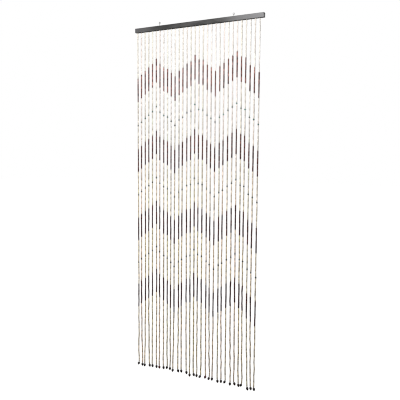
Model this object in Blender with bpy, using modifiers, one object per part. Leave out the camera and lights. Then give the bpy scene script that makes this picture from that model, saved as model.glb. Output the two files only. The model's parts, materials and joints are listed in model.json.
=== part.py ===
"""A bead curtain: strands of bamboo tubes under a wooden rail, with a teardrop bead on the end of each.

Metres, +Z up, the face of the curtain towards -Y. The origin is the middle of the rail's top face.
Every strand hangs from a narrow strip let into a groove in the rail's underside.
"""

import math
from collections import namedtuple

import bmesh
import bpy
from mathutils import Matrix, Vector

MM = 0.001
CLEARANCE = 0.3 * MM
MERGE_DISTANCE = 0.01 * MM

# The wooden rail and the edges broken along it.
RAIL_LENGTH = 0.900
RAIL_DEPTH = 0.022
RAIL_HEIGHT = 0.028
RAIL_BEVEL = 2.5 * MM

# The strands, evenly pitched. They were hung a little off the middle of the rail.
STRAND_PITCH = 0.0286
STRANDS_SHIFT = -0.006
STRAND_RADIUS = 4.1 * MM
CURTAIN_DROP = 2.171

# Down to here a strand has few rings, and below it one for each tube, where it hangs kinked.
TAIL_DEPTH = 1.60
UPPER_RING_STEP = 0.20
TAIL_RING_STEP = 0.0435

# A strand strays evenly down to the tail, and faster in the last part.
LAST_PART_DEPTH = 1.70
STRAY_POWER = 1.5
WAVER = 1.0 * MM
WAVER_LENGTH = 0.19
WAVER_TURNS_PER_STRAND = 0.382

# The groove in the rail's underside, and the strip in it that holds every strand.
GROOVE_WIDTH = 9.6 * MM
GROOVE_DEPTH = 3.0 * MM
STRIP_MARGIN = 5.0 * MM

# The screw eyes on the rail's top.
EYE_SPACING = 0.520
EYE_WIRE_RADIUS = 1.45 * MM
EYE_RING_RADIUS = 4.7 * MM
EYE_SHANK_SUNK = 14.0 * MM
EYE_HOLE_RADIUS = EYE_WIRE_RADIUS + 0.4 * MM
EYE_HEIGHTS = {"screw_eye_left": 24.0 * MM, "screw_eye_right": 20.5 * MM}

# Radius and depth below its top, down the side of an end bead.
BEAD_PROFILE = ((0.0, 0.0), (4.2, 3.4), (7.5, 8.6), (6.9, 13.8), (3.9, 19.1), (0.0, 22.5))
BEAD_LENGTH = BEAD_PROFILE[-1][1] * MM
BEAD_SIDES = 8

# How each strand hangs: how much lower than the rest it reaches, how far it strays to the right
# at the tail and at its end, all in millimetres, and the lean of its bead to the right in degrees.
Strand = namedtuple("Strand", "lower tail end lean")
STRANDS = (
    Strand(1, 8, 9, -16),
    Strand(3, 1, 10, 1),
    Strand(4, 4, -2, -1),
    Strand(-1, 1, 7, 14),
    Strand(-2, 2, 1, 14),
    Strand(-2, 6, 5, 4),
    Strand(-3, 1, 0, 5),
    Strand(-5, 3, 3, 10),
    Strand(-10, 3, 3, -14),
    Strand(-8, -1, -2, 0),
    Strand(-1, -3, -10, -9),
    Strand(-5, 2, -2, 15),
    Strand(-8, -5, -4, 8),
    Strand(-6, 2, 5, 10),
    Strand(6, 1, 2, 4),
    Strand(-2, 0, 0, 16),
    Strand(0, -3, -4, -3),
    Strand(0, -3, -2, -34),
    Strand(-3, 1, 3, -14),
    Strand(2, -4, 2, -20),
    Strand(0, -4, -7, -5),
    Strand(6, 0, 0, 10),
    Strand(3, -6, -1, 0),
    Strand(1, -2, -2, -28),
    Strand(6, -1, 4, -4),
    Strand(-2, -1, 1, 24),
    Strand(3, -1, 0, 8),
    Strand(-2, -8, -3, -28),
    Strand(11, -7, 3, 14),
    Strand(6, -10, -4, 12),
    Strand(7, -8, -10, 10),
)
MIDDLE_STRAND = (len(STRANDS) - 1) / 2
UNDERSIDE = -RAIL_HEIGHT


def clear_scene():
    """Take out whatever the file opened with."""
    for item in list(bpy.data.objects):
        bpy.data.objects.remove(item, do_unlink=True)


def new_collection(name):
    """A collection linked to the scene."""
    collection = bpy.data.collections.new(name)
    bpy.context.scene.collection.children.link(collection)
    return collection


def new_material(name, colour, roughness, metallic=0.0):
    """A plain surface of one colour."""
    material = bpy.data.materials.new(name)
    material.use_nodes = True
    shader = material.node_tree.nodes["Principled BSDF"]
    shader.inputs["Base Color"].default_value = (*colour, 1.0)
    shader.inputs["Roughness"].default_value = roughness
    shader.inputs["Metallic"].default_value = metallic
    material.diffuse_color = (*colour, 1.0)
    return material


def add_object(name, mesh, collection, material=None):
    """An object in a collection, with its material if it is a part."""
    item = bpy.data.objects.new(name, mesh)
    collection.objects.link(item)
    if material is not None:
        mesh.materials.clear()
        mesh.materials.append(material)
    return item


def hide_helper(item):
    """Mark a cutter or another helper, which isn't a part."""
    item.hide_render = True
    item.display_type = "WIRE"
    return item


def box_mesh(name, length, depth, height):
    """A box about its own middle."""
    mesh = bpy.data.meshes.new(name)
    shape = bmesh.new()
    bmesh.ops.create_cube(shape, size=1.0)
    bmesh.ops.scale(shape, vec=(length, depth, height), verts=shape.verts)
    shape.to_mesh(mesh)
    shape.free()
    return mesh


def rod_mesh(name, radius, bottom, top, sides=12):
    """An upright rod between two heights."""
    mesh = bpy.data.meshes.new(name)
    shape = bmesh.new()
    bmesh.ops.create_cone(
        shape, cap_ends=True, segments=sides, radius1=radius, radius2=radius, depth=top - bottom,
        matrix=Matrix.Translation((0.0, 0.0, (top + bottom) / 2)),
    )
    shape.to_mesh(mesh)
    shape.free()
    return mesh


def cut_or_join(item, other, operation):
    """A Boolean modifier with the exact solver."""
    modifier = item.modifiers.new(f"{operation.lower()} {other.name}", "BOOLEAN")
    modifier.operation = operation
    modifier.solver = "EXACT"
    modifier.object = other


def strand_head(index):
    """Where a strand leaves the rail, along the rail."""
    return STRANDS_SHIFT + (index - MIDDLE_STRAND) * STRAND_PITCH


def strand_point(index, depth):
    """The line of a strand at a depth below the rail's underside."""
    strand = STRANDS[index]
    upper = min(max(depth, 0.0) / TAIL_DEPTH, 1.0)
    last = max(0.0, depth - LAST_PART_DEPTH) / (CURTAIN_DROP - LAST_PART_DEPTH)
    stray = MM * (strand.tail * upper + (strand.end - strand.tail) * last ** STRAY_POWER)
    size = WAVER * (max(depth, 0.0) / CURTAIN_DROP) ** 2
    turn = 2 * math.pi * (depth / WAVER_LENGTH + index * WAVER_TURNS_PER_STRAND)
    across = strand_head(index) + stray + size * math.sin(turn)
    return Vector((across, size * math.cos(0.7 * turn), UNDERSIDE - depth))


def strand_end_depth(index):
    """Where a strand stops, just above its bead."""
    strand = STRANDS[index]
    upright = BEAD_LENGTH * math.cos(math.radians(strand.lean))
    return CURTAIN_DROP + MM * strand.lower - upright - CLEARANCE


def ring_depths(index):
    """The depths of a strand's rings, few above and one for each tube in its tail."""
    end = strand_end_depth(index)
    upper_steps = round(TAIL_DEPTH / UPPER_RING_STEP)
    tail_steps = round((end - TAIL_DEPTH) / TAIL_RING_STEP)
    depths = [TAIL_DEPTH * step / upper_steps for step in range(1, upper_steps + 1)]
    depths += [TAIL_DEPTH + (end - TAIL_DEPTH) * step / tail_steps for step in range(1, tail_steps + 1)]
    return depths


def strip_height():
    """The strip fills its groove but for the clearance above it."""
    return GROOVE_DEPTH - CLEARANCE


def strip_length():
    """The strip holds every strand, with a margin past the outer two."""
    return (len(STRANDS) - 1) * STRAND_PITCH + 2 * STRIP_MARGIN


def make_rail(parts, cutters, material):
    """The rail, with its groove and the holes for the eyes."""
    mesh = box_mesh("head_rail", RAIL_LENGTH, RAIL_DEPTH, RAIL_HEIGHT)
    rail = add_object("head_rail", mesh, parts, material)
    rail.location = (0.0, 0.0, -RAIL_HEIGHT / 2)
    bevel = rail.modifiers.new("broken edges", "BEVEL")
    bevel.width = RAIL_BEVEL
    bevel.segments = 2

    overshoot = 2 * MM
    groove_length = strip_length() + 2 * CLEARANCE
    groove_mesh = box_mesh("groove", groove_length, GROOVE_WIDTH, GROOVE_DEPTH + overshoot)
    groove = hide_helper(add_object("groove", groove_mesh, cutters))
    groove.location = (STRANDS_SHIFT, 0.0, UNDERSIDE + (GROOVE_DEPTH - overshoot) / 2)
    cut_or_join(rail, groove, "DIFFERENCE")

    for side in (-1, 1):
        hole_mesh = rod_mesh("eye_hole", EYE_HOLE_RADIUS, -EYE_SHANK_SUNK - CLEARANCE, overshoot)
        hole = hide_helper(add_object("eye_hole", hole_mesh, cutters))
        hole.location = (STRANDS_SHIFT + side * EYE_SPACING / 2, 0.0, 0.0)
        cut_or_join(rail, hole, "DIFFERENCE")
    return rail


def make_screw_eye(name, side, parts, cutters, material):
    """A ring of wire on a shank that is sunk in the rail."""
    ring_centre = EYE_HEIGHTS[name] - EYE_RING_RADIUS - EYE_WIRE_RADIUS
    bpy.ops.mesh.primitive_torus_add(
        major_segments=20, minor_segments=8, major_radius=EYE_RING_RADIUS,
        minor_radius=EYE_WIRE_RADIUS,
    )
    made = bpy.context.active_object
    mesh = made.data
    bpy.data.objects.remove(made)
    mesh.name = name
    mesh.transform(Matrix.Translation((0.0, 0.0, ring_centre)) @ Matrix.Rotation(math.pi / 2, 4, "X"))
    mesh.shade_smooth()
    eye = add_object(name, mesh, parts, material)
    eye.location = (STRANDS_SHIFT + side * EYE_SPACING / 2, 0.0, 0.0)

    shank_top = ring_centre - EYE_RING_RADIUS
    shank_mesh = rod_mesh(f"{name}_shank", EYE_WIRE_RADIUS, -EYE_SHANK_SUNK, shank_top)
    shank = hide_helper(add_object(f"{name}_shank", shank_mesh, cutters))
    shank.location = eye.location
    cut_or_join(eye, shank, "UNION")
    return eye


def strand_tubes_mesh():
    """Every strand as a four-sided tube, in one mesh of separate closed bodies."""
    curve = bpy.data.curves.new("strand_lines", "CURVE")
    curve.dimensions = "3D"
    curve.bevel_depth = STRAND_RADIUS
    curve.bevel_resolution = 0
    curve.use_fill_caps = True
    for index in range(len(STRANDS)):
        root = strand_point(index, 0.0) + Vector((0.0, 0.0, strip_height() / 2))
        points = [root] + [strand_point(index, depth) for depth in ring_depths(index)]
        line = curve.splines.new("POLY")
        line.points.add(len(points) - 1)
        for place, point in zip(line.points, points):
            place.co = (*point, 1.0)
    item = bpy.data.objects.new("strand_lines", curve)
    bpy.context.scene.collection.objects.link(item)
    seen = item.evaluated_get(bpy.context.evaluated_depsgraph_get())
    mesh = bpy.data.meshes.new_from_object(seen)
    bpy.data.objects.remove(item)
    shape = bmesh.new()
    shape.from_mesh(mesh)
    bmesh.ops.remove_doubles(shape, verts=shape.verts, dist=MERGE_DISTANCE)
    bmesh.ops.recalc_face_normals(shape, faces=shape.faces)
    shape.to_mesh(mesh)
    shape.free()
    return mesh


def make_strands(parts, cutters, material):
    """The strip in the groove, with the roots of every strand fused into it."""
    width = GROOVE_WIDTH - 2 * CLEARANCE
    mesh = box_mesh("strands", strip_length(), width, strip_height())
    mesh.transform(Matrix.Translation((STRANDS_SHIFT, 0.0, UNDERSIDE + strip_height() / 2)))
    strands = add_object("strands", mesh, parts, material)
    tubes = hide_helper(add_object("strand_tubes", strand_tubes_mesh(), cutters))
    cut_or_join(strands, tubes, "UNION")
    return strands


def bead_mesh():
    """Half the outline of an end bead, which a Screw modifier turns."""
    mesh = bpy.data.meshes.new("end_bead")
    points = [(radius * MM, 0.0, -depth * MM) for radius, depth in BEAD_PROFILE]
    edges = [(step, step + 1) for step in range(len(points) - 1)]
    mesh.from_pydata(points, edges, [])
    return mesh


def make_end_bead(index, mesh, parts):
    """A bead under a strand's end, with the lean it hangs at."""
    bead = add_object(f"end_bead_{index + 1:02d}", mesh, parts)
    bead.location = strand_point(index, strand_end_depth(index) + CLEARANCE)
    bead.rotation_euler = (0.0, -math.radians(STRANDS[index].lean), 0.0)
    turned = bead.modifiers.new("turned", "SCREW")
    turned.axis = "Z"
    turned.steps = BEAD_SIDES
    turned.render_steps = BEAD_SIDES
    turned.use_merge_vertices = True
    turned.merge_threshold = MERGE_DISTANCE
    turned.use_smooth_shade = True
    return bead


def main():
    """Build the whole curtain."""
    clear_scene()
    parts = new_collection("bead_curtain")
    cutters = new_collection("helpers")
    wood = new_material("stained_wood", (0.16, 0.15, 0.145), 0.55)
    steel = new_material("eye_steel", (0.60, 0.60, 0.58), 0.35, metallic=1.0)
    bamboo = new_material("bamboo", (0.55, 0.47, 0.33), 0.45)
    dark_bead = new_material("dark_bead", (0.05, 0.03, 0.025), 0.35)

    make_rail(parts, cutters, wood)
    make_screw_eye("screw_eye_left", -1, parts, cutters, steel)
    make_screw_eye("screw_eye_right", 1, parts, cutters, steel)
    make_strands(parts, cutters, bamboo)
    mesh = bead_mesh()
    mesh.materials.append(dark_bead)
    for index in range(len(STRANDS)):
        make_end_bead(index, mesh, parts)


main()
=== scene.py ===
"""Looks of the bamboo bead curtain: tubes, threads, beads, screw eyes, wood, light and camera.

Metres, +Z up, the curtain's face towards -Y. The origin is the middle of the rail's top face.
"""

import json
import math
import random
from collections import namedtuple

import bmesh
import bpy
from mathutils import Matrix, Vector

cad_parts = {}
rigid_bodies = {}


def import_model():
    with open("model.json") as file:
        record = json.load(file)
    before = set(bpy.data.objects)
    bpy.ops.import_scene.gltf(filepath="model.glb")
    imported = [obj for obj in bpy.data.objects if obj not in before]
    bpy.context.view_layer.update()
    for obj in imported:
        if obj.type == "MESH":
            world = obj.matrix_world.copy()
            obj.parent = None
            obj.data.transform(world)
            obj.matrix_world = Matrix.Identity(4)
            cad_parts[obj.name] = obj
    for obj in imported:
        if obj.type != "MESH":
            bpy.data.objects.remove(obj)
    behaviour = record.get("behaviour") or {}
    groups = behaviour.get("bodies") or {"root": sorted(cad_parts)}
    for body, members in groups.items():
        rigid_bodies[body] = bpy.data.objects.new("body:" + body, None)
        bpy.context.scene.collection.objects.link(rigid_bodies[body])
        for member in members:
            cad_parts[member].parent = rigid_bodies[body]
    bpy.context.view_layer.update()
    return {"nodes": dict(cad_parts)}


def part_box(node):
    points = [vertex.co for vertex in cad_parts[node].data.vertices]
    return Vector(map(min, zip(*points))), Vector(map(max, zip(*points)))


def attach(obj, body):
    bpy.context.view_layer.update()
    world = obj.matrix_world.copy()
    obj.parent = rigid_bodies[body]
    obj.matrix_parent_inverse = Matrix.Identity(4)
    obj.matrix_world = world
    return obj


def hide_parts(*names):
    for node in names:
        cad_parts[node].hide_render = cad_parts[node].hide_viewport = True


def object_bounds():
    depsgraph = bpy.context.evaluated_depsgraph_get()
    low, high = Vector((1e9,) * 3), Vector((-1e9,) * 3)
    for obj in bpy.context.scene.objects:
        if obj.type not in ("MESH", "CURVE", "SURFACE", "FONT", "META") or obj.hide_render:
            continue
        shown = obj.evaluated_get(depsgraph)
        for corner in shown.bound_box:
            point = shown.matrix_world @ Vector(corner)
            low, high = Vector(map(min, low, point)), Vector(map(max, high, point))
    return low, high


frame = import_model()

MM = 0.001

RAIL_LOW, RAIL_HIGH = (Vector(corner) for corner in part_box("head_rail"))
UNDERSIDE = RAIL_LOW.z

# The strands hang from evenly pitched heads, a little off the middle of the rail. Each strays to its
# own tail at TAIL_DEPTH, to its own end below LAST_PART_DEPTH, and wavers more and more on the way.
STRAND_PITCH = 0.0286
STRANDS_SHIFT = -0.006
CURTAIN_DROP = 2.171
TAIL_DEPTH = 1.60
LAST_PART_DEPTH = 1.70
STRAY_POWER = 1.5
WAVER = 1.0 * MM
WAVER_LENGTH = 0.19
WAVER_TURNS_PER_STRAND = 0.382
OUTWARD_WAVER_RATE = 0.7

# Low down the strands are kinked from tube to tube, some more than others.
KINK = 2.0 * MM
KINK_LENGTH = 0.078
KINK_FADE = 0.08
KINK_SIZE_TURN = 2.4
KINK_START_TURN = 1.7

# The strip in the rail's groove, which holds every thread.
STRIP_MARGIN = 5.0 * MM
STRIP_WIDTH = 9.0 * MM
STRIP_HEIGHT = 2.7 * MM
STRIP_BEVEL = 0.3 * MM

# Bamboo tubes: how long and thick they are, and how unevenly they grew and were cut.
TOP_GAP = 1.5 * MM
TUBE_LENGTH = 36.6 * MM
TUBE_GAP = 0.7 * MM
TUBE_RADIUS = 4.1 * MM
DARK_TUBE_RADIUS = 4.35 * MM
LENGTH_SPREAD = 0.10
RADIUS_SPREAD = 0.09
STRAND_RADIUS_SPREAD = 0.04
TUBE_BEND = 0.55 * MM
BEND_SCALE = 24.0
TUBE_SIDES = 7
NODE_HEIGHTS = (None, -0.22, 0.16, 0.31)
RIM_ANGLE = math.radians(57)

# The four dark bands: how far under the rail each starts on its highest strands, how much lower
# it starts on each strand farther out, how long it is, and how far strands were threaded out of line.
BAND_STARTS = (0.1775, 0.6301, 1.0761, 1.5152)
BAND_STEP = 0.0223
BAND_LENGTH = 0.148
BAND_TUBES = 4
BAND_PEAKS = (5, 15, 25)
BAND_JITTER = 3.0 * MM
SPACER_LENGTH = 7.0 * MM
SPACER_RADIUS = 5.3 * MM
SPACER_SIDES = 12

THREAD_RADIUS = 0.45 * MM
THREAD_SIDES = 6
KNOT_RADIUS = 1.1 * MM
KNOT_DROP = 0.2 * KNOT_RADIUS
KNOT_LUMP = 0.4 * MM
KNOT_LUMP_SCALE = 900.0

# Radius and depth below its top, down the side of an end bead, in millimetres.
BEAD_OUTLINE = (
    (0.6, 0.3), (0.9, 0.1), (2.0, 0.5), (3.4, 1.9), (5.3, 4.0), (6.8, 6.4), (7.5, 8.9), (7.55, 11.0),
    (7.1, 13.5), (6.1, 16.2), (4.5, 18.9), (2.9, 20.8), (1.6, 21.9), (0.7, 22.4), (0.5, 22.1),
)
BEAD_LENGTH = 22.5 * MM
BEAD_SIDES = 20
CLEARANCE = 0.3 * MM

# How each strand hangs: how much lower than the rest it reaches, how far it strays to the right
# at the tail and at its end, how far its pattern sits low, all in millimetres, and the lean of its
# bead to the right in degrees.
Strand = namedtuple("Strand", "lower tail end pattern lean")
STRANDS = (
    Strand(1, 8, 9, 3, -16),
    Strand(3, 1, 10, 0, 1),
    Strand(4, 4, -2, -1, -1),
    Strand(-1, 1, 7, 4, 14),
    Strand(-2, 2, 1, 6, 14),
    Strand(-2, 6, 5, -2, 4),
    Strand(-3, 1, 0, 8, 5),
    Strand(-5, 3, 3, 8, 10),
    Strand(-10, 3, 3, -1, -14),
    Strand(-8, -1, -2, 3, 0),
    Strand(-1, -3, -10, 5, -9),
    Strand(-5, 2, -2, -4, 15),
    Strand(-8, -5, -4, 1, 8),
    Strand(-6, 2, 5, -2, 10),
    Strand(6, 1, 2, 11, 4),
    Strand(-2, 0, 0, -6, 16),
    Strand(0, -3, -4, 3, -3),
    Strand(0, -3, -2, -14, -34),
    Strand(-3, 1, 3, -7, -14),
    Strand(2, -4, 2, -9, -20),
    Strand(0, -4, -7, -6, -5),
    Strand(6, 0, 0, -12, 10),
    Strand(3, -6, -1, -7, 0),
    Strand(1, -2, -2, -8, -28),
    Strand(6, -1, 4, -4, -4),
    Strand(-2, -1, 1, -3, 24),
    Strand(3, -1, 0, 6, 8),
    Strand(-2, -8, -3, -8, -28),
    Strand(11, -7, 3, 15, 14),
    Strand(6, -10, -4, 8, 12),
    Strand(7, -8, -10, 14, 10),
)
MIDDLE_STRAND = (len(STRANDS) - 1) / 2
RED_BEAD_STRANDS = (18, 6)

# Screw eyes: the wire, the ring that almost closes, and the thread rolled on the sunk shank.
EYES = ("screw_eye_left", "screw_eye_right")
EYE_WIRE_RADIUS = 1.45 * MM
EYE_WIRE_SIDES = 12
EYE_CLOSING = math.radians(338)
EYE_RING_STEPS = 34
EYE_NECK = 0.6 * EYE_WIRE_RADIUS
EYE_SHANK_SUNK = 14.0 * MM
EYE_THREAD_RUNOUT = 1.5 * MM
EYE_THREAD_START = 0.4 * MM
EYE_THREAD_PITCH = 1.3 * MM
EYE_THREAD_STEPS = 14
EYE_THREAD_RADIUS = 0.22 * MM
EYE_THREAD_SUNK = 0.05 * MM
EYE_THREAD_SIDES = 5

FLOOR_GAP = 0.03
FLOOR_SIZE = 30.0
SEED = 31

# The photograph's camera: where it stands, which ways are right, ahead and up, and its lens.
CAMERA_PLACE = Vector((1.8522, -3.1181, -0.8361))
CAMERA_RIGHT = Vector((0.86372, 0.50392, 0.00686))
CAMERA_AHEAD = Vector((-0.50236, 0.86198, -0.06803))
CAMERA_UP = Vector((-0.04019, 0.05532, 0.99766))
CAMERA_LENS = 53.03
CAMERA_SENSOR_WIDTH = 36.0


def strand_head(index):
    """Where a strand leaves the rail, along the rail."""
    return STRANDS_SHIFT + (index - MIDDLE_STRAND) * STRAND_PITCH


def strand_point(index, depth):
    """The line of a strand at a depth below the rail's underside."""
    strand = STRANDS[index]
    upper = min(max(depth, 0.0) / TAIL_DEPTH, 1.0)
    last = max(0.0, depth - LAST_PART_DEPTH) / (CURTAIN_DROP - LAST_PART_DEPTH)
    stray = MM * (strand.tail * upper + (strand.end - strand.tail) * last ** STRAY_POWER)
    size = WAVER * (max(depth, 0.0) / CURTAIN_DROP) ** 2
    turn = 2 * math.pi * (depth / WAVER_LENGTH + index * WAVER_TURNS_PER_STRAND)
    kink = KINK * (0.5 + 0.5 * math.sin(KINK_SIZE_TURN * index)) * (max(depth, 0.0) / CURTAIN_DROP) ** 2
    kink *= min(1.0, max(0.0, CURTAIN_DROP - depth) / KINK_FADE)
    kink *= math.sin(2 * math.pi * depth / KINK_LENGTH + KINK_START_TURN * index)
    across = strand_head(index) + stray + size * math.sin(turn) + kink
    return Vector((across, size * math.cos(OUTWARD_WAVER_RATE * turn), UNDERSIDE - depth))


def strand_end_depth(index):
    """Where a strand stops, just above its bead."""
    strand = STRANDS[index]
    upright = BEAD_LENGTH * math.cos(math.radians(strand.lean))
    return CURTAIN_DROP + MM * strand.lower - upright - CLEARANCE


def bead_down(index):
    """The direction from the top of a strand's end bead to its point."""
    lean = math.radians(STRANDS[index].lean)
    return Vector((math.sin(lean), 0.0, -math.cos(lean)))


def build_tree(name, wanted):
    """An empty Geometry Nodes tree with named inputs."""
    tree = bpy.data.node_groups.new(name, "GeometryNodeTree")
    tree.interface.new_socket("Geometry", in_out="INPUT", socket_type="NodeSocketGeometry")
    for label, kind, value in wanted:
        socket = tree.interface.new_socket(label, in_out="INPUT", socket_type=kind)
        if value is not None:
            socket.default_value = value
    tree.interface.new_socket("Geometry", in_out="OUTPUT", socket_type="NodeSocketGeometry")
    return tree


def add_node(tree, kind, **settings):
    """A node with its properties set."""
    node = tree.nodes.new(kind)
    for key, value in settings.items():
        setattr(node, key, value)
    return node


def threading_tree():
    """Put one of several shapes on each point, along its own direction, and bend them a little."""
    tree = build_tree("threading", (
        ("Shapes", "NodeSocketCollection", None),
        ("Bend", "NodeSocketFloat", 0.0),
        ("Bend Scale", "NodeSocketFloat", 20.0),
        ("Seed", "NodeSocketInt", 0),
        ("Finish", "NodeSocketMaterial", None),
    ))
    link = tree.links.new
    given = add_node(tree, "NodeGroupInput").outputs

    shapes = add_node(tree, "GeometryNodeCollectionInfo")
    shapes.inputs["Separate Children"].default_value = True
    shapes.inputs["Reset Children"].default_value = True
    link(given["Shapes"], shapes.inputs["Collection"])

    which = add_node(tree, "FunctionNodeRandomValue", data_type="INT")
    which.inputs[4].default_value = 0
    which.inputs[5].default_value = 999
    link(given["Seed"], which.inputs["Seed"])

    along = add_node(tree, "GeometryNodeInputNamedAttribute", data_type="FLOAT_VECTOR")
    along.inputs["Name"].default_value = "along"
    stretch = add_node(tree, "GeometryNodeInputNamedAttribute", data_type="FLOAT_VECTOR")
    stretch.inputs["Name"].default_value = "stretch"

    aim = add_node(tree, "FunctionNodeAlignRotationToVector", axis="Z")
    link(along.outputs["Attribute"], aim.inputs["Vector"])
    turn = add_node(tree, "FunctionNodeRandomValue", data_type="FLOAT")
    turn.inputs[2].default_value = 0.0
    turn.inputs[3].default_value = 2 * math.pi
    link(given["Seed"], turn.inputs["Seed"])
    spin = add_node(tree, "FunctionNodeAxisAngleToRotation")
    spin.inputs["Axis"].default_value = (0.0, 0.0, 1.0)
    link(turn.outputs[1], spin.inputs["Angle"])
    rotate = add_node(tree, "FunctionNodeRotateRotation", rotation_space="LOCAL")
    link(aim.outputs["Rotation"], rotate.inputs["Rotation"])
    link(spin.outputs["Rotation"], rotate.inputs["Rotate By"])

    place = add_node(tree, "GeometryNodeInstanceOnPoints")
    place.inputs["Pick Instance"].default_value = True
    link(given["Geometry"], place.inputs["Points"])
    link(shapes.outputs["Instances"], place.inputs["Instance"])
    link(which.outputs[2], place.inputs["Instance Index"])
    link(rotate.outputs["Rotation"], place.inputs["Rotation"])
    link(stretch.outputs["Attribute"], place.inputs["Scale"])
    real = add_node(tree, "GeometryNodeRealizeInstances")
    link(place.outputs["Instances"], real.inputs["Geometry"])

    ripple = add_node(tree, "ShaderNodeTexNoise", noise_dimensions="4D")
    ripple.inputs["Detail"].default_value = 1.0
    link(given["Bend Scale"], ripple.inputs["Scale"])
    link(given["Seed"], ripple.inputs["W"])
    centred = add_node(tree, "ShaderNodeVectorMath", operation="SUBTRACT")
    centred.inputs[1].default_value = (0.5, 0.5, 0.5)
    link(ripple.outputs["Color"], centred.inputs[0])
    sized = add_node(tree, "ShaderNodeVectorMath", operation="SCALE")
    link(centred.outputs["Vector"], sized.inputs[0])
    link(given["Bend"], sized.inputs["Scale"])
    bend = add_node(tree, "GeometryNodeSetPosition")
    link(real.outputs["Geometry"], bend.inputs["Geometry"])
    link(sized.outputs["Vector"], bend.inputs["Offset"])

    finish = add_node(tree, "GeometryNodeSetMaterial")
    link(bend.outputs["Geometry"], finish.inputs["Geometry"])
    link(given["Finish"], finish.inputs["Material"])
    result = add_node(tree, "NodeGroupOutput")
    link(finish.outputs["Geometry"], result.inputs["Geometry"])
    return tree


def thread_tree():
    """Turn lines of edges into round thread or wire."""
    tree = build_tree("thread", (
        ("Radius", "NodeSocketFloat", 0.001),
        ("Sides", "NodeSocketInt", 6),
        ("Finish", "NodeSocketMaterial", None),
    ))
    link = tree.links.new
    given = add_node(tree, "NodeGroupInput").outputs
    line = add_node(tree, "GeometryNodeMeshToCurve")
    link(given["Geometry"], line.inputs["Mesh"])
    ring = add_node(tree, "GeometryNodeCurvePrimitiveCircle")
    link(given["Radius"], ring.inputs["Radius"])
    link(given["Sides"], ring.inputs["Resolution"])
    sweep = add_node(tree, "GeometryNodeCurveToMesh")
    sweep.inputs["Fill Caps"].default_value = True
    link(line.outputs["Curve"], sweep.inputs["Curve"])
    link(ring.outputs["Curve"], sweep.inputs["Profile Curve"])
    smooth = add_node(tree, "GeometryNodeSetShadeSmooth")
    link(sweep.outputs["Mesh"], smooth.inputs["Geometry"])
    real = add_node(tree, "GeometryNodeRealizeInstances")
    link(smooth.outputs["Geometry"], real.inputs["Geometry"])
    finish = add_node(tree, "GeometryNodeSetMaterial")
    link(real.outputs["Geometry"], finish.inputs["Geometry"])
    link(given["Finish"], finish.inputs["Material"])
    result = add_node(tree, "NodeGroupOutput")
    link(finish.outputs["Geometry"], result.inputs["Geometry"])
    return tree


def bake(item, tree, values):
    """Run a tree on an object and keep the result as a plain mesh."""
    modifier = item.modifiers.new(tree.name, "NODES")
    modifier.node_group = tree
    for socket in tree.interface.items_tree:
        if socket.in_out == "INPUT" and socket.name in values:
            modifier[socket.identifier] = values[socket.name]
    seen = item.evaluated_get(bpy.context.evaluated_depsgraph_get())
    made = bpy.data.meshes.new_from_object(seen)
    item.modifiers.clear()
    item.data = made
    made.name = item.name
    if not made.materials:
        made.materials.append(values["Finish"])
    return item


def new_piece(name, mesh):
    """A visible piece, at the origin."""
    item = bpy.data.objects.new(name, mesh)
    bpy.context.scene.collection.objects.link(item)
    return item


def line_mesh(name, lines):
    """A mesh of edges along lists of points."""
    mesh = bpy.data.meshes.new(name)
    shape = bmesh.new()
    for points in lines:
        verts = [shape.verts.new(point) for point in points]
        for before, after in zip(verts, verts[1:]):
            shape.edges.new((before, after))
    shape.to_mesh(mesh)
    shape.free()
    return mesh


def turned_mesh(name, outline, sides):
    """An outline of radius, height and darkening share, turned about Z round a bore."""
    mesh = bpy.data.meshes.new(name)
    shape = bmesh.new()
    soot = shape.verts.layers.float.new("soot")
    rings = []
    for radius, height, dark in outline:
        ring = []
        for side in range(sides):
            angle = 2 * math.pi * side / sides
            vert = shape.verts.new((radius * math.cos(angle), radius * math.sin(angle), height))
            vert[soot] = dark
            ring.append(vert)
        rings.append(ring)
    for low, high in zip(rings, rings[1:] + rings[:1]):
        for side in range(sides):
            after = (side + 1) % sides
            shape.faces.new((low[side], low[after], high[after], high[side]))
    bmesh.ops.recalc_face_normals(shape, faces=shape.faces)
    shape.to_mesh(mesh)
    shape.free()
    mesh.shade_smooth()
    return mesh


def shape_collection(name, meshes):
    """The shapes that a tree picks from, out of the scene."""
    collection = bpy.data.collections.new(name)
    for number, mesh in enumerate(meshes):
        collection.objects.link(bpy.data.objects.new(f"{name}_{number}", mesh))
    return collection


def tube_shapes():
    """Bamboo tubes one unit long and one in radius: plain, or with a node ring at some height."""
    meshes = []
    for node_height in NODE_HEIGHTS:
        # The third value darkens the tube: at its ends partly cut-end colour and partly painted shade where
        # tubes meet; at a node ring, a dark line.
        side = [(0.86, -0.5, 1.0), (0.99, -0.47, 0.62)]
        if node_height is None:
            side.append((0.96, 0.02, 0.0))
        else:
            side += [
                (0.95, node_height - 0.05, 0.2), (1.07, node_height, 1.0), (0.95, node_height + 0.05, 0.2),
            ]
        side += [(1.0, 0.47, 0.62), (0.86, 0.5, 1.0)]
        outline = [(0.40, -0.5, 1.0)] + side + [(0.40, 0.5, 1.0)]
        meshes.append(turned_mesh("bamboo_tube", outline, TUBE_SIDES))
    return shape_collection("tube_shapes", meshes)


def spacer_shapes():
    """Small round spacer beads with a bore."""
    side = ((0.30, -0.5), (0.62, -0.49), (0.88, -0.34), (1.0, 0.0), (0.88, 0.34), (0.62, 0.49), (0.30, 0.5))
    outline = [(radius, height, 0.0) for radius, height in side]
    return shape_collection("spacer_shapes", [turned_mesh("spacer", outline, SPACER_SIDES)])


def bead_shapes():
    """A teardrop end bead with a rim round its bore, hanging from its top."""
    outline = [(radius * MM, -depth * MM, 0.0) for radius, depth in BEAD_OUTLINE]
    return shape_collection("bead_shapes", [turned_mesh("end_bead", outline, BEAD_SIDES)])


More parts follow.
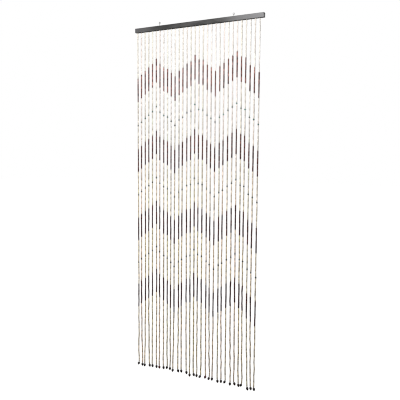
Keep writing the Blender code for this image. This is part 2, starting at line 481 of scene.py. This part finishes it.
def knot_shapes():
    """A knot: a lumpy ball."""
    mesh = bpy.data.meshes.new("knot")
    shape = bmesh.new()
    bmesh.ops.create_icosphere(shape, subdivisions=1, radius=1.0)
    shape.to_mesh(mesh)
    shape.free()
    mesh.shade_smooth()
    return shape_collection("knot_shapes", [mesh])


class Threaded:
    """The places of one kind of threaded thing, with what each of them is like."""

    def __init__(self, name):
        self.name = name
        self.rows = []

    def add(self, place, along, stretch, tone, tint):
        """One more thing: its middle, its direction, its size, and two shares of colour."""
        self.rows.append((place, along, stretch, tone, tint))

    def points(self):
        """A mesh of loose points with the values as attributes."""
        mesh = bpy.data.meshes.new(self.name)
        mesh.vertices.add(len(self.rows))
        kinds = (
            ("along", "FLOAT_VECTOR"), ("stretch", "FLOAT_VECTOR"), ("tone", "FLOAT"), ("tint", "FLOAT"),
        )
        for label, kind in kinds:
            mesh.attributes.new(label, kind, "POINT")
        made = {label: mesh.attributes[label] for label, _ in kinds}
        for number, (place, along, stretch, tone, tint) in enumerate(self.rows):
            mesh.vertices[number].co = place
            made["along"].data[number].vector = along
            made["stretch"].data[number].vector = stretch
            made["tone"].data[number].value = tone
            made["tint"].data[number].value = tint
        return new_piece(self.name, mesh)


def peak_distance(index):
    """How many strands lie between this one and the nearest peak of the zigzag."""
    return min(abs(index - peak) for peak in BAND_PEAKS)


def cut_lengths(total, count, draw):
    """Lengths of a run of tubes, unevenly cut, with the gaps between them taken off."""
    shares = [1.0 + draw.uniform(-LENGTH_SPREAD, LENGTH_SPREAD) for _ in range(count)]
    room = total - count * TUBE_GAP
    return [room * share / sum(shares) for share in shares]


def strand_runs(index, draw):
    """What is threaded on a strand, from the rail down: pale or dark runs and spacer beads."""
    pattern = MM * STRANDS[index].pattern
    runs = []
    depth = TOP_GAP
    for number, start in enumerate(BAND_STARTS):
        band = start + BAND_STEP * peak_distance(index) + pattern + draw.uniform(-BAND_JITTER, BAND_JITTER)
        if number == 0:
            runs.append(("pale", depth, band))
        else:
            middle = (depth + band) / 2
            runs.append(("pale", depth, middle - SPACER_LENGTH / 2))
            runs.append(("spacer", middle - SPACER_LENGTH / 2, middle + SPACER_LENGTH / 2))
            runs.append(("pale", middle + SPACER_LENGTH / 2, band))
        depth = band + BAND_LENGTH + draw.uniform(-BAND_JITTER, BAND_JITTER) / 2
        runs.append(("dark", band, depth))
    runs.append(("pale", depth, strand_end_depth(index)))
    return runs


def thread_everything():
    """Lay out every tube, spacer, bead and knot along the strands, and list each strand's joints."""
    draw = random.Random(SEED)
    joints = []
    groups = {kind: Threaded(name) for kind, name in (
        ("pale", "pale_bamboo_tubes"), ("dark", "dark_bamboo_tubes"), ("spacer", "spacer_beads"),
        ("bead", "teardrop_beads"), ("knot", "thread_knots"),
    )}
    for index in range(len(STRANDS)):
        strand_tint = draw.random()
        strand_width = 1.0 + draw.uniform(-STRAND_RADIUS_SPREAD, STRAND_RADIUS_SPREAD)
        joints.append([])
        for kind, top, bottom in strand_runs(index, draw):
            if kind == "spacer":
                lengths = [bottom - top]
            elif kind == "dark":
                lengths = cut_lengths(bottom - top, BAND_TUBES, draw)
            else:
                lengths = cut_lengths(bottom - top, max(1, round((bottom - top) / TUBE_LENGTH)), draw)
            depth = top
            for length in lengths:
                high = strand_point(index, depth)
                low = strand_point(index, depth + length)
                radius = {"spacer": SPACER_RADIUS, "pale": TUBE_RADIUS, "dark": DARK_TUBE_RADIUS}[kind]
                radius *= strand_width
                radius *= 1.0 + draw.uniform(-RADIUS_SPREAD, RADIUS_SPREAD)
                stretch = (radius, radius, length)
                groups[kind].add((high + low) / 2, (high - low).normalized(), stretch, draw.random(),
                                 strand_tint)
                joints[index].append(depth)
                depth += length + TUBE_GAP
        top = strand_point(index, strand_end_depth(index) + CLEARANCE)
        down = bead_down(index)
        red = 1.0 if index in RED_BEAD_STRANDS else 0.0
        groups["bead"].add(top, -down, (1.0, 1.0, 1.0), draw.random(), red)
        knot_place = top + down * (BEAD_LENGTH + KNOT_DROP)
        groups["knot"].add(knot_place, -down, (KNOT_RADIUS,) * 3, draw.random(), 0.0)
    return groups, joints


def thread_lines(joints):
    """The thread of every strand, from inside the rail to its knot, as lines of edges."""
    lines = []
    for index in range(len(STRANDS)):
        end = strand_end_depth(index)
        points = [strand_point(index, 0.0) + Vector((0.0, 0.0, STRIP_HEIGHT / 2))]
        points += [strand_point(index, depth) for depth in joints[index] + [end]]
        top = strand_point(index, end + CLEARANCE)
        points += [top + bead_down(index) * BEAD_LENGTH * share for share in (0.5, 1.0)]
        lines.append(points)
    return new_piece("threads", line_mesh("threads", lines))


def shader_material(name, roughness, metallic=0.0):
    """A material with a Principled shader, and a coordinate node to feed its patterns."""
    material = bpy.data.materials.new(name)
    material.use_nodes = True
    tree = material.node_tree
    shader = tree.nodes["Principled BSDF"]
    shader.inputs["Roughness"].default_value = roughness
    shader.inputs["Metallic"].default_value = metallic
    place = tree.nodes.new("ShaderNodeTexCoord")
    return material, tree, shader, place.outputs["Object"]


def stretched(tree, coordinates, scale):
    """Object coordinates stretched for a grain that runs one way."""
    mapping = add_node(tree, "ShaderNodeMapping")
    mapping.inputs["Scale"].default_value = scale
    tree.links.new(coordinates, mapping.inputs["Vector"])
    return mapping.outputs["Vector"]


def noise(tree, vector, scale, detail=3.0, rough=0.55):
    """A noise share between 0 and 1."""
    texture = add_node(tree, "ShaderNodeTexNoise")
    texture.inputs["Scale"].default_value = scale
    texture.inputs["Detail"].default_value = detail
    texture.inputs["Roughness"].default_value = rough
    tree.links.new(vector, texture.inputs["Vector"])
    return texture.outputs["Fac"]


def ramp(tree, share, stops):
    """A colour picked along named stops."""
    node = add_node(tree, "ShaderNodeValToRGB")
    elements = node.color_ramp.elements
    while len(elements) < len(stops):
        elements.new(0.5)
    for element, (place, colour) in zip(elements, stops):
        element.position = place
        element.color = (*colour, 1.0)
    tree.links.new(share, node.inputs["Fac"])
    return node.outputs["Color"]


def mix(tree, share, first, second, blend="MIX"):
    """Two colours mixed by a share, which is a socket or a number."""
    node = add_node(tree, "ShaderNodeMix", data_type="RGBA", blend_type=blend)
    for socket, value in ((node.inputs[0], share), (node.inputs[6], first), (node.inputs[7], second)):
        if isinstance(value, bpy.types.NodeSocket):
            tree.links.new(value, socket)
        elif isinstance(value, tuple):
            socket.default_value = (*value, 1.0)
        else:
            socket.default_value = value
    return node.outputs[2]


def ranged(tree, share, low, high, new_low, new_high):
    """A share spread over another range, and kept inside it."""
    node = add_node(tree, "ShaderNodeMapRange")
    node.inputs["From Min"].default_value = low
    node.inputs["From Max"].default_value = high
    node.inputs["To Min"].default_value = new_low
    node.inputs["To Max"].default_value = new_high
    tree.links.new(share, node.inputs["Value"])
    return node.outputs["Result"]


def by_height(tree, place, low, high, at_low, at_high):
    """A share that changes evenly between two heights."""
    parts = add_node(tree, "ShaderNodeSeparateXYZ")
    tree.links.new(place, parts.inputs["Vector"])
    return ranged(tree, parts.outputs["Z"], low, high, at_low, at_high)


def read(tree, name):
    """A share stored on the piece's own points."""
    return add_node(tree, "ShaderNodeAttribute", attribute_name=name).outputs["Fac"]


def bump(tree, shader, height, strength, distance):
    """Raise a surface a little by a share."""
    node = add_node(tree, "ShaderNodeBump")
    node.inputs["Strength"].default_value = strength
    node.inputs["Distance"].default_value = distance
    tree.links.new(height, node.inputs["Height"])
    tree.links.new(node.outputs["Normal"], shader.inputs["Normal"])


def pale_bamboo():
    """Natural bamboo: tubes in straw, pink and green shades, greyer towards the rail.

    It has long fibres, brown freckles, dark node lines, and tube ends darkened by cut-end colour and
    painted shade.
    """
    material, tree, shader, place = shader_material("pale_bamboo", 0.42)
    tone = read(tree, "tone")
    tint = read(tree, "tint")
    lower_colour = ramp(tree, tint, (
        (0.0, (0.65, 0.54, 0.35)), (0.25, (0.59, 0.55, 0.36)), (0.5, (0.68, 0.52, 0.40)),
        (0.75, (0.59, 0.55, 0.43)), (1.0, (0.67, 0.53, 0.34)),
    ))
    greyer_near_rail = ramp(tree, tint, (
        (0.0, (0.51, 0.48, 0.43)), (0.25, (0.49, 0.485, 0.44)), (0.5, (0.53, 0.475, 0.45)),
        (0.75, (0.495, 0.485, 0.47)), (1.0, (0.52, 0.48, 0.425)),
    ))
    # The colour turns greyer towards the rail.
    base = mix(tree, by_height(tree, place, -1.35, -0.65, 0.0, 1.0), lower_colour, greyer_near_rail)
    each = ramp(tree, tone, (
        (0.0, (0.72, 0.70, 0.66)), (0.3, (0.92, 0.90, 0.84)), (0.65, (1.0, 1.0, 0.98)),
        (0.85, (1.04, 0.96, 0.92)), (1.0, (0.90, 0.98, 0.86)),
    ))
    colour = mix(tree, by_height(tree, place, -0.8, -0.3, 1.0, 0.4), base, each, "MULTIPLY")
    fibres = noise(tree, stretched(tree, place, (1600.0, 1600.0, 40.0)), 1.0, 4.0)
    colour = mix(tree, ranged(tree, fibres, 0.45, 0.75, 0.0, 0.6), colour, (0.33, 0.28, 0.21))
    freckles = noise(tree, stretched(tree, place, (420.0, 420.0, 150.0)), 1.0, 2.0, 0.7)
    colour = mix(tree, ranged(tree, freckles, 0.61, 0.70, 0.0, 0.7), colour, (0.19, 0.13, 0.08))
    # Darker tube ends, partly cut-end colour and partly painted shade where tubes meet, and dark node
    # lines; all weaker near the rail.
    end_shade_and_node_line_mix = add_node(tree, "ShaderNodeMath", operation="MULTIPLY")
    tree.links.new(ranged(tree, read(tree, "soot"), 0.4, 0.9, 0.0, 0.85), end_shade_and_node_line_mix.inputs[0])
    tree.links.new(by_height(tree, place, -0.85, -0.25, 1.0, 0.15), end_shade_and_node_line_mix.inputs[1])
    colour = mix(tree, end_shade_and_node_line_mix.outputs["Value"], colour, (0.13, 0.085, 0.055))
    tree.links.new(colour, shader.inputs["Base Color"])
    tree.links.new(ranged(tree, fibres, 0.3, 0.7, 0.34, 0.55), shader.inputs["Roughness"])
    bump(tree, shader, fibres, 0.35, 0.0002)
    return material


def dark_bamboo():
    """Bamboo stained a dark reddish brown, lighter towards the rail, blotched, and worn in places."""
    material, tree, shader, place = shader_material("dark_bamboo", 0.5)
    shader.inputs["Specular IOR Level"].default_value = 0.1
    tone = read(tree, "tone")
    lower_colour = ramp(tree, tone, (
        (0.0, (0.028, 0.009, 0.007)), (0.35, (0.050, 0.016, 0.012)), (0.7, (0.074, 0.025, 0.019)),
        (1.0, (0.105, 0.038, 0.030)),
    ))
    paler_near_rail = ramp(tree, tone, (
        (0.0, (0.110, 0.040, 0.032)), (0.35, (0.210, 0.090, 0.072)), (0.7, (0.310, 0.152, 0.126)),
        (1.0, (0.400, 0.225, 0.190)),
    ))
    # The stain is lighter towards the rail.
    base = mix(tree, by_height(tree, place, -0.9, -0.2, 0.0, 1.0), lower_colour, paler_near_rail)
    fibres = noise(tree, stretched(tree, place, (1500.0, 1500.0, 35.0)), 1.0, 4.0)
    colour = mix(tree, ranged(tree, fibres, 0.5, 0.8, 0.0, 0.4), base, (0.12, 0.040, 0.022))
    blotches = noise(tree, stretched(tree, place, (200.0, 200.0, 70.0)), 1.0, 2.0)
    colour = mix(tree, ranged(tree, blotches, 0.44, 0.60, 0.0, 0.85), colour, (0.016, 0.009, 0.008))
    worn = noise(tree, stretched(tree, place, (330.0, 330.0, 110.0)), 1.0, 2.0, 0.6)
    colour = mix(tree, ranged(tree, worn, 0.56, 0.66, 0.0, 0.55), colour, (0.27, 0.18, 0.155))
    # Darker tube ends, partly cut-end colour and partly painted shade where tubes meet, and dark node
    # lines.
    colour = mix(tree, ranged(tree, read(tree, "soot"), 0.4, 0.9, 0.0, 0.8), colour, (0.008, 0.005, 0.004))
    tree.links.new(colour, shader.inputs["Base Color"])
    tree.links.new(ranged(tree, fibres, 0.3, 0.7, 0.38, 0.6), shader.inputs["Roughness"])
    bump(tree, shader, fibres, 0.35, 0.0002)
    return material


def spacer_lacquer():
    """Small wooden beads lacquered from sea green to near black."""
    material, tree, shader, place = shader_material("spacer_lacquer", 0.3)
    tone = read(tree, "tone")
    base = ramp(tree, tone, (
        (0.0, (0.006, 0.014, 0.012)), (0.3, (0.004, 0.036, 0.028)), (0.6, (0.006, 0.080, 0.060)),
        (0.8, (0.025, 0.032, 0.027)), (1.0, (0.008, 0.110, 0.085)),
    ))
    rings = noise(tree, stretched(tree, place, (300.0, 300.0, 1400.0)), 1.0, 3.0)
    colour = mix(tree, ranged(tree, rings, 0.45, 0.75, 0.0, 0.4), base, (0.02, 0.02, 0.018))
    colour = mix(tree, by_height(tree, place, -1.0, -0.5, 0.75, 0.0), colour, (0.006, 0.009, 0.008))
    tree.links.new(colour, shader.inputs["Base Color"])
    shader.inputs["Specular IOR Level"].default_value = 0.3
    bump(tree, shader, rings, 0.2, 0.0001)
    return material


def bead_lacquer():
    """Turned wooden end beads under a dark brown lacquer, a few of them dark red."""
    material, tree, shader, place = shader_material("bead_lacquer", 0.28)
    tone = read(tree, "tone")
    tint = read(tree, "tint")
    base = ramp(tree, tone, (
        (0.0, (0.006, 0.004, 0.0035)), (0.6, (0.011, 0.006, 0.005)), (1.0, (0.020, 0.010, 0.007)),
    ))
    base = mix(tree, tint, base, (0.075, 0.014, 0.014))
    turning = noise(tree, stretched(tree, place, (260.0, 260.0, 1500.0)), 1.0, 3.0)
    colour = mix(tree, ranged(tree, turning, 0.5, 0.8, 0.0, 0.4), base, (0.035, 0.018, 0.012))
    tree.links.new(colour, shader.inputs["Base Color"])
    tree.links.new(ranged(tree, turning, 0.3, 0.7, 0.26, 0.45), shader.inputs["Roughness"])
    shader.inputs["Coat Weight"].default_value = 0.1
    shader.inputs["Specular IOR Level"].default_value = 0.3
    bump(tree, shader, turning, 0.15, 0.0001)
    return material


def thread_twist():
    """Twisted off-white nylon thread."""
    material, tree, shader, place = shader_material("thread_twist", 0.5)
    twist = add_node(tree, "ShaderNodeTexWave", wave_type="BANDS", bands_direction="DIAGONAL")
    twist.inputs["Scale"].default_value = 900.0
    twist.inputs["Distortion"].default_value = 1.0
    tree.links.new(place, twist.inputs["Vector"])
    colour = ramp(tree, twist.outputs["Fac"], ((0.0, (0.30, 0.27, 0.21)), (1.0, (0.62, 0.58, 0.48))))
    tree.links.new(colour, shader.inputs["Base Color"])
    bump(tree, shader, twist.outputs["Fac"], 0.5, 0.0001)
    return material


def stained_wood():
    """Dark grey stained pine: long grain, pores, paler worn patches, and a painted sheen that makes the
    colour lighter towards both ends.
    """
    material, tree, shader, place = shader_material("stained_wood", 0.55)
    warp = noise(tree, stretched(tree, place, (2.2, 30.0, 30.0)), 1.0, 2.0)
    shifted = add_node(tree, "ShaderNodeVectorMath", operation="ADD")
    tree.links.new(stretched(tree, place, (1.0, 14.0, 14.0)), shifted.inputs[0])
    offset = add_node(tree, "ShaderNodeCombineXYZ")
    tree.links.new(ranged(tree, warp, 0.0, 1.0, -0.06, 0.06), offset.inputs["Z"])
    tree.links.new(offset.outputs["Vector"], shifted.inputs[1])
    rings = add_node(tree, "ShaderNodeTexWave", wave_type="BANDS", bands_direction="Z")
    rings.inputs["Scale"].default_value = 7.0
    rings.inputs["Distortion"].default_value = 4.0
    rings.inputs["Detail"].default_value = 3.0
    rings.inputs["Detail Scale"].default_value = 1.5
    tree.links.new(shifted.outputs["Vector"], rings.inputs["Vector"])
    colour = ramp(tree, rings.outputs["Fac"], (
        (0.0, (0.014, 0.0138, 0.0135)), (0.5, (0.023, 0.0225, 0.022)), (1.0, (0.034, 0.0335, 0.033)),
    ))
    pores = noise(tree, stretched(tree, place, (45.0, 1500.0, 1500.0)), 1.0, 4.0)
    colour = mix(tree, ranged(tree, pores, 0.5, 0.7, 0.0, 0.55), colour, (0.008, 0.0075, 0.0075))
    patches = noise(tree, stretched(tree, place, (7.0, 30.0, 30.0)), 1.0, 2.0)
    colour = mix(tree, ranged(tree, patches, 0.42, 0.62, 0.0, 0.5), colour, (0.060, 0.059, 0.058))
    # Painted sheen: the colour is lighter towards both ends of the rail, most at the right end.
    sides = add_node(tree, "ShaderNodeSeparateXYZ")
    tree.links.new(place, sides.inputs["Vector"])
    painted_end_sheen = ramp(tree, ranged(tree, sides.outputs["X"], RAIL_LOW.x, RAIL_HIGH.x, 0.0, 1.0), (
        (0.0, (0.40, 0.40, 0.40)), (0.2, (0.0, 0.0, 0.0)), (0.7, (0.0, 0.0, 0.0)),
        (0.78, (0.45, 0.45, 0.45)), (1.0, (0.9, 0.9, 0.9)),
    ))
    colour = mix(tree, painted_end_sheen, colour, (0.145, 0.143, 0.147))
    tree.links.new(colour, shader.inputs["Base Color"])
    tree.links.new(ranged(tree, pores, 0.3, 0.7, 0.5, 0.75), shader.inputs["Roughness"])
    shader.inputs["Specular IOR Level"].default_value = 0.15
    bump(tree, shader, pores, 0.3, 0.0003)
    return material


def zinc_steel():
    """Zinc plated steel wire, a little dull and spotted."""
    material, tree, shader, place = shader_material("zinc_steel", 0.32, metallic=1.0)
    dull = noise(tree, stretched(tree, place, (500.0, 500.0, 500.0)), 1.0, 3.0)
    colour = ramp(tree, dull, (
        (0.3, (0.10, 0.10, 0.10)), (0.6, (0.17, 0.17, 0.165)), (0.8, (0.13, 0.125, 0.12)),
    ))
    tree.links.new(colour, shader.inputs["Base Color"])
    tree.links.new(ranged(tree, dull, 0.3, 0.7, 0.35, 0.55), shader.inputs["Roughness"])
    bump(tree, shader, dull, 0.1, 0.0001)
    return material


def make_strip(wood):
    """The narrow strip in the groove that holds the threads."""
    mesh = bpy.data.meshes.new("thread_strip")
    shape = bmesh.new()
    bmesh.ops.create_cube(shape, size=1.0)
    length = (len(STRANDS) - 1) * STRAND_PITCH + 2 * STRIP_MARGIN
    bmesh.ops.scale(shape, vec=(length, STRIP_WIDTH, STRIP_HEIGHT), verts=shape.verts)
    bmesh.ops.translate(shape, vec=(STRANDS_SHIFT, 0.0, UNDERSIDE + STRIP_HEIGHT / 2), verts=shape.verts)
    bmesh.ops.bevel(
        shape, geom=list(shape.edges), offset=STRIP_BEVEL, segments=2, affect="EDGES", profile=0.5,
    )
    shape.to_mesh(mesh)
    shape.free()
    mesh.materials.append(wood)
    return new_piece("thread_strip", mesh)


def make_eye(node, tree, steel):
    """A screw eye: a wire shank with a rolled thread, bent round into a ring that almost closes."""
    low, high = (Vector(corner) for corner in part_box(node))
    middle = (low.x + high.x) / 2
    ring_radius = (high.x - low.x) / 2 - EYE_WIRE_RADIUS
    centre = Vector((middle, 0.0, high.z - ring_radius - EYE_WIRE_RADIUS))
    bent = [Vector((middle, 0.0, low.z)), Vector((middle, 0.0, low.z / 2))]
    bent.append(Vector((middle, 0.0, centre.z - ring_radius - EYE_NECK)))
    for step in range(1, EYE_RING_STEPS + 1):
        angle = EYE_CLOSING * step / EYE_RING_STEPS
        bent.append(centre + ring_radius * Vector((math.sin(angle), 0.0, -math.cos(angle))))

    helix = []
    radius = EYE_WIRE_RADIUS - EYE_THREAD_SUNK
    turns = (EYE_SHANK_SUNK + EYE_THREAD_RUNOUT) / EYE_THREAD_PITCH
    for step in range(round(turns * EYE_THREAD_STEPS)):
        angle = 2 * math.pi * step / EYE_THREAD_STEPS
        height = low.z + EYE_THREAD_START + EYE_THREAD_PITCH * step / EYE_THREAD_STEPS
        helix.append(Vector((middle + radius * math.cos(angle), radius * math.sin(angle), height)))

    made = []
    wires = ((bent, EYE_WIRE_RADIUS, EYE_WIRE_SIDES), (helix, EYE_THREAD_RADIUS, EYE_THREAD_SIDES))
    for line, radius, sides in wires:
        piece = new_piece(node + "_wire", line_mesh(node, [line]))
        bake(piece, tree, {"Radius": radius, "Sides": sides, "Finish": steel})
        made.append(piece)
    ring, ridge = made
    shape = bmesh.new()
    shape.from_mesh(ring.data)
    shape.from_mesh(ridge.data)
    shape.to_mesh(ring.data)
    shape.free()
    bpy.data.objects.remove(ridge)
    return ring


def dress_strands():
    """Everything that is threaded under the rail, each kind as one piece."""
    threading = threading_tree()
    thread = thread_tree()
    groups, joints = thread_everything()
    shapes = {
        "pale": tube_shapes(), "dark": tube_shapes(), "spacer": spacer_shapes(),
        "bead": bead_shapes(), "knot": knot_shapes(),
    }
    nylon = thread_twist()
    finishes = {
        "pale": pale_bamboo(), "dark": dark_bamboo(), "spacer": spacer_lacquer(),
        "bead": bead_lacquer(), "knot": nylon,
    }
    bends = {"pale": TUBE_BEND, "dark": TUBE_BEND, "spacer": 0.0, "bead": 0.0, "knot": KNOT_LUMP}
    pieces = {}
    for number, (kind, group) in enumerate(groups.items()):
        item = group.points()
        values = {
            "Shapes": shapes[kind], "Bend": bends[kind],
            "Bend Scale": KNOT_LUMP_SCALE if kind == "knot" else BEND_SCALE,
            "Seed": SEED + number, "Finish": finishes[kind],
        }
        pieces[kind] = bake(item, threading, values)
        pieces[kind].data.set_sharp_from_angle(angle=RIM_ANGLE)
    pieces["thread"] = bake(
        thread_lines(joints), thread,
        {"Radius": THREAD_RADIUS, "Sides": THREAD_SIDES, "Finish": nylon},
    )
    for collection in shapes.values():
        for item in list(collection.objects):
            bpy.data.objects.remove(item)
        bpy.data.collections.remove(collection)
    return pieces


def make_floor():
    """A plain white floor a little below the beads."""
    mesh = bpy.data.meshes.new("floor")
    shape = bmesh.new()
    bmesh.ops.create_grid(shape, x_segments=1, y_segments=1, size=FLOOR_SIZE)
    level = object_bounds()[0][2] - FLOOR_GAP
    bmesh.ops.translate(shape, vec=(0.0, 0.0, level), verts=shape.verts)
    shape.to_mesh(mesh)
    shape.free()
    material = bpy.data.materials.new("white_floor")
    material.use_nodes = True
    shader = material.node_tree.nodes["Principled BSDF"]
    shader.inputs["Base Color"].default_value = (0.06, 0.06, 0.06, 1.0)
    shader.inputs["Roughness"].default_value = 0.9
    shader.inputs["Emission Color"].default_value = (1.0, 1.0, 1.0, 1.0)
    shader.inputs["Emission Strength"].default_value = 0.97
    mesh.materials.append(material)
    floor = new_piece("floor", mesh)
    floor.visible_diffuse = False
    floor.visible_glossy = False


def make_world():
    """A white surround to look at, and a soft light from it that comes mostly from above."""
    world = bpy.data.worlds.new("studio")
    bpy.context.scene.world = world
    world.use_nodes = True
    tree = world.node_tree
    tree.nodes.clear()
    link = tree.links.new
    place = add_node(tree, "ShaderNodeTexCoord")
    parts = add_node(tree, "ShaderNodeSeparateXYZ")
    link(place.outputs["Generated"], parts.inputs["Vector"])
    soft = add_node(tree, "ShaderNodeBackground")
    soft.inputs["Color"].default_value = (1.0, 0.985, 0.96, 1.0)
    link(ranged(tree, parts.outputs["Z"], -0.6, 0.8, 0.05, 0.75), soft.inputs["Strength"])
    white = add_node(tree, "ShaderNodeBackground")
    seen = add_node(tree, "ShaderNodeLightPath")
    choose = add_node(tree, "ShaderNodeMixShader")
    link(seen.outputs["Is Camera Ray"], choose.inputs["Fac"])
    link(soft.outputs["Background"], choose.inputs[1])
    link(white.outputs["Background"], choose.inputs[2])
    white.inputs["Color"].default_value = (1.0, 1.0, 1.0, 1.0)
    output = add_node(tree, "ShaderNodeOutputWorld")
    link(choose.outputs["Shader"], output.inputs["Surface"])


def add_light(name, place, target, size, power):
    """A square soft light aimed at a point."""
    light = bpy.data.lights.new(name, "AREA")
    light.shape = "SQUARE"
    light.size = size
    light.energy = power
    item = bpy.data.objects.new(name, light)
    item.location = place
    item.rotation_euler = (Vector(target) - Vector(place)).to_track_quat("-Z", "Y").to_euler()
    item.visible_camera = False
    bpy.context.scene.collection.objects.link(item)


def make_lights():
    """A big soft light in front of the curtain's upper half, and a weaker one behind it."""
    add_light("front_light", (0.18, -1.45, -0.02), (0.03, 0.0, -0.5), 0.9, 50.0)
    add_light("back_light", (0.3, 1.8, 0.2), (0.0, 0.0, -0.6), 1.2, 32.0)


def make_camera():
    """The photograph's view, from the right and below the rail."""
    camera = bpy.data.cameras.new("camera")
    camera.sensor_fit = "HORIZONTAL"
    camera.sensor_width = CAMERA_SENSOR_WIDTH
    camera.lens = CAMERA_LENS
    item = bpy.data.objects.new("camera", camera)
    turned = Matrix((CAMERA_RIGHT, CAMERA_UP, -CAMERA_AHEAD)).transposed().to_4x4()
    item.matrix_world = Matrix.Translation(CAMERA_PLACE) @ turned
    bpy.context.scene.collection.objects.link(item)
    bpy.context.scene.camera = item


def main():
    """Dress the curtain, light it and set the camera."""
    wood = stained_wood()
    rail = frame["nodes"]["head_rail"]
    rail.data.materials.clear()
    rail.data.materials.append(wood)

    pieces = dress_strands()
    for kind, piece in pieces.items():
        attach(piece, "root")
    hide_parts("strands")
    beads = [f"end_bead_{index + 1:02d}" for index in range(len(STRANDS))]
    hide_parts(*beads)

    strip = make_strip(wood)
    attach(strip, "root")

    steel = zinc_steel()
    wire = thread_tree()
    for node in EYES:
        eye = make_eye(node, wire, steel)
        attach(eye, "root")
        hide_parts(node)

    make_floor()
    make_world()
    make_lights()
    make_camera()
    bpy.context.scene.view_settings.view_transform = "Standard"
    bpy.context.scene.cycles.filter_width = 1.15


main()
